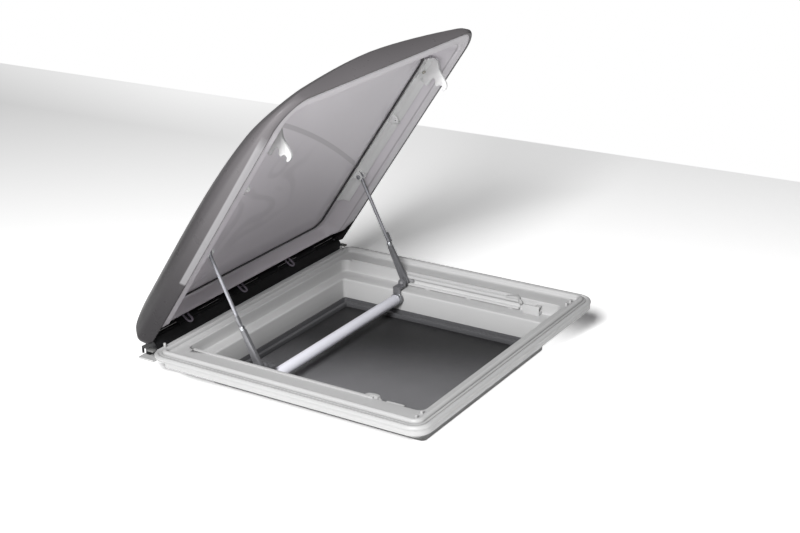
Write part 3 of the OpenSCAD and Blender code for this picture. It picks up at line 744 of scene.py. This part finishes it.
def dome_piece(name, rows, t, form, material, node):
    """One sheet of the dome, made closed and then swung open.

    rows gives one of its skins, and the other lies t mm away."""
    fine = finer(rows, 4)
    near = surface(fine, 0, **form)
    far = surface(fine, t, **form)
    thickens_up = rows[-1][3] > 0
    top, bottom = (far, near) if thickens_up else (near, far)
    obj = new_object(name, shell(name, top, bottom))
    round_edges(obj, 0.5, angle=50)
    for v in obj.data.vertices:
        v.co.z = max(v.co.z, DOME_Z * MM)
    obj.data.transform(opened)
    shade(obj.data, 35)
    dress(obj, "dome", material, node)


OUTER_FORM = dict(y1=DOME_Y1, share=1, grow=0.62, rear=1, low_r=REAR_R)
PANE_FORM = dict(y1=PANE_Y1, share=0, grow=-1, rear=PANE_REAR, low_r=LEAST_R)
dome_piece("dome_shell", OUTER, DOME_T, OUTER_FORM, mat_dome, "dome_outer")
dome_piece("inner_pane", PANE, PANE_T, PANE_FORM, mat_pane, "dome_inner_pane")


# Screen cloth

def grid(name, n, place):
    """Mesh of n by n faces. place gives the point at (u, v), both from 0 to 1."""
    verts = [place(i / n, j / n) for j in range(n + 1) for i in range(n + 1)]
    faces = []
    for j in range(n):
        for i in range(n):
            a = j * (n + 1) + i
            faces.append((a, a + 1, a + n + 2, a + n + 1))
    mesh = bpy.data.meshes.new(name)
    mesh.from_pydata(verts, [], faces)
    return mesh


def screen_point(u, v):
    u, v = 2 * u - 1, 2 * v - 1
    sag = SCREEN_SAG * (1 - u * u) * (1 - v * v)
    return Vector((u * SCREEN_X, v * SCREEN_Y, SCREEN_Z - sag)) * MM


def screen_cloth():
    mesh = grid("screen_cloth", 24, screen_point)
    shade(mesh, 60)
    obj = new_object("screen_cloth", mesh)
    dress(obj, "frame", mat_mesh, "insect_screen")


screen_cloth()


# Small pieces: CAD shapes with rounded edges

# node, material, slot and width of the rounded edges; * stands for left and right
SMALL = (
    ("rim_seal", mat_seal, "seal_strip", 0.3),
    ("roof_seal", mat_foam, "roof_foam", 0.4),
    ("screen_tray", mat_tray, "tray_plastic", 0.4),
    ("screen_clips", mat_tray, "tray_plastic", 0.3),
    ("guide_*", mat_guide, "guide_plastic", 0.4),
    ("guide_screws", mat_guide, "screw_steel", 0.15),
    ("catch_*", mat_white, "white_plastic", 0.5),
    ("catch_pocket_*", mat_guide, "white_plastic", 0.4),
    ("hinge_base", mat_black, "black_profile", 0.3),
    ("hinge_end_caps", mat_black, "black_profile", 0.4),
    ("hinge_rod", mat_rod, "rod_steel", 0.2),
    ("rear_pegs", mat_white, "white_plastic", 0.5),
    ("corner_pads", mat_pad, "pad_grey", 0.8),
    ("rest_blocks", mat_white, "white_plastic", 0.6),
    ("hinge_leaf", mat_black, "black_profile", 0.3),
    ("hinge_clips", mat_clip, "smoked_dome", 0.5),
    ("pane_gasket", mat_gasket, "gasket", 0.3),
    # the rails and claws take the lit copies of the white plastic: painted light
    ("dome_rail_*", mat_lit_rail, "white_plastic", 0.4),
    ("claw_left", mat_lit_claw, "white_plastic", 0.5),
    ("claw_right", mat_lit_rail, "white_plastic", 0.5),
    ("claw_screws", mat_screw, "screw_steel", 0.25),
    ("pivot_pin_*", mat_zinc, "rod_steel", 0.3),
    ("stay_rod_*", mat_rod, "rod_steel", 0.3),
    ("stay_nut_*", mat_zinc, "screw_steel", 0.3),
    ("stay_tab_*", mat_lever, "lever_zinc", 0.2),
    ("stay_lever_*", mat_lever, "lever_zinc", 0.6),
    ("bow_arm_*", mat_lever, "lever_zinc", 0.6),
    ("bow_bar", mat_bar, "bar_white", 0.5),
    ("bow_collars", mat_zinc, "lever_zinc", 0.5),
    ("slide_shoe_*", mat_shoe, "shoe_plastic", 0.3))

for name, material, slot, width in SMALL:
    for side in ("left", "right") if "*" in name else ("",):
        soften(name.replace("*", side), material, width)


# Floor, backdrop and light

FLOOR_Z = FOOT_Z * MM
# colour of the floor as seen, above 1 to come out white in the weak light; the far colour is painted
# light, paler near the far left edge where the lamp light is weaker
FLOOR_FAR, FLOOR_NEAR = (2.15, 2.15, 2.15, 1), (1.5, 1.5, 1.5, 1)
# corners of the floor in metres: the far edge from left to right, then the near edge back
FLOOR_CORNERS = ((1.1154, 2.0444), (1.2294, -3.4), (-3.5, -3.5), (-3.6, 2.2))


def seen_rays(tree, *kinds):
    """1 for the rays of the named kinds that reach a surface or the world."""
    path = tree.nodes.new("ShaderNodeLightPath")
    seen = path.outputs[kinds[0]]
    for kind in kinds[1:]:
        more = tree.nodes.new("ShaderNodeMath")
        more.operation = "MAXIMUM"
        tree.links.new(seen, more.inputs[0])
        tree.links.new(path.outputs[kind], more.inputs[1])
        seen = more.outputs["Value"]
    return seen


def far_edge_distance(n, x, y):
    """Distance in metres from the far edge of the floor."""
    start, end = (Vector(corner) for corner in FLOOR_CORNERS[:2])
    edge = end - start
    normal = Vector((-edge.y, edge.x)).normalized()
    along = n.maths("ADD", n.product(x, normal.x), n.product(y, normal.y))
    return n.maths("SUBTRACT", normal.dot(start), along)


def floor_material():
    """Pale floor: as seen it is paler than in the light it throws back on the part, with painted light
    near the far left edge and a painted glow beside the part.
    """
    n = Nodes("floor")
    x, y = separate(n)[:2]
    far = n.span(far_edge_distance(n, x, y), 0.3, 0.02, 0, 1)
    # painted light: paler near the far left edge
    far_left_painted_light = n.product(far, n.span(y, 0.4, 1.4, 0, 1, True))
    cloud = n.noise(1.3, 3)
    n.join(n.mix(n.span(cloud, 0.3, 0.7), grey(228), grey(230)), n.shader.inputs["Base Color"])
    n.join(n.span(cloud, 0.3, 0.7, 0.7, 0.8), n.shader.inputs["Roughness"])
    n.join(n.bump(cloud, 0.2 * MM, 0.2), n.shader.inputs["Normal"])
    n.shader.inputs["Specular IOR Level"].default_value = 0.1
    pale = n.add("BsdfDiffuse")
    n.join(n.mix(far_left_painted_light, FLOOR_NEAR, FLOOR_FAR), pale.inputs["Color"])
    # painted light: the floor glows white right up to the part on the left and in front of it, over the
    # shadow under its flange
    left = n.span(x, -0.17, -0.2, 0, 1)
    front_painted_light = n.product(n.span(y, -0.16, -0.19, 0, 1), n.span(x, 0.2, 0.34, 1, 0, True))
    white = n.add("Emission")
    n.join(n.product(n.maths("MAXIMUM", left, front_painted_light), 0.9), white.inputs["Strength"])
    lit = n.add("AddShader")
    n.join(pale.outputs["BSDF"], lit.inputs[0])
    n.join(white.outputs["Emission"], lit.inputs[1])
    both = n.add("MixShader")
    n.join(seen_rays(n.tree, "Is Camera Ray", "Is Glossy Ray", "Is Transmission Ray"), both.inputs[0])
    n.join(n.shader.outputs["BSDF"], both.inputs[1])
    n.join(lit.outputs["Shader"], both.inputs[2])
    n.join(both.outputs["Shader"], n.output.inputs["Surface"])
    return n.material


def floor_point(u, v):
    a, b, c, d = (Vector((x, y, FLOOR_Z)) for x, y in FLOOR_CORNERS)
    return a.lerp(d, u).lerp(b.lerp(c, u), v)


def floor():
    mesh = grid("floor", 24, floor_point)
    mesh.materials.append(floor_material())
    new_object("floor", mesh)


floor()


def studio_world():
    """White as seen, and faint as light on the part."""
    world = bpy.data.worlds.new("studio")
    scene.world = world
    world.use_nodes = True
    tree = world.node_tree
    background = tree.nodes["Background"]
    background.inputs["Color"].default_value = (1, 1, 1, 1)
    strength = tree.nodes.new("ShaderNodeMapRange")
    strength.inputs["To Min"].default_value = 0.12
    strength.inputs["To Max"].default_value = 1.0
    tree.links.new(seen_rays(tree, "Is Camera Ray", "Is Transmission Ray"), strength.inputs["Value"])
    tree.links.new(strength.outputs["Result"], background.inputs["Strength"])


def lamp(name, place, target, size, power):
    light = bpy.data.lights.new(name, "AREA")
    light.shape = "SQUARE"
    light.size = size
    light.energy = power
    obj = bpy.data.objects.new(name, light)
    scene.collection.objects.link(obj)
    obj.location = place
    obj.rotation_euler = (Vector(target) - Vector(place)).to_track_quat("-Z", "Y").to_euler()


studio_world()
lamp("key", place=(-2.4, -0.8, 1.88), target=(0, 0, 0), size=0.9, power=146)
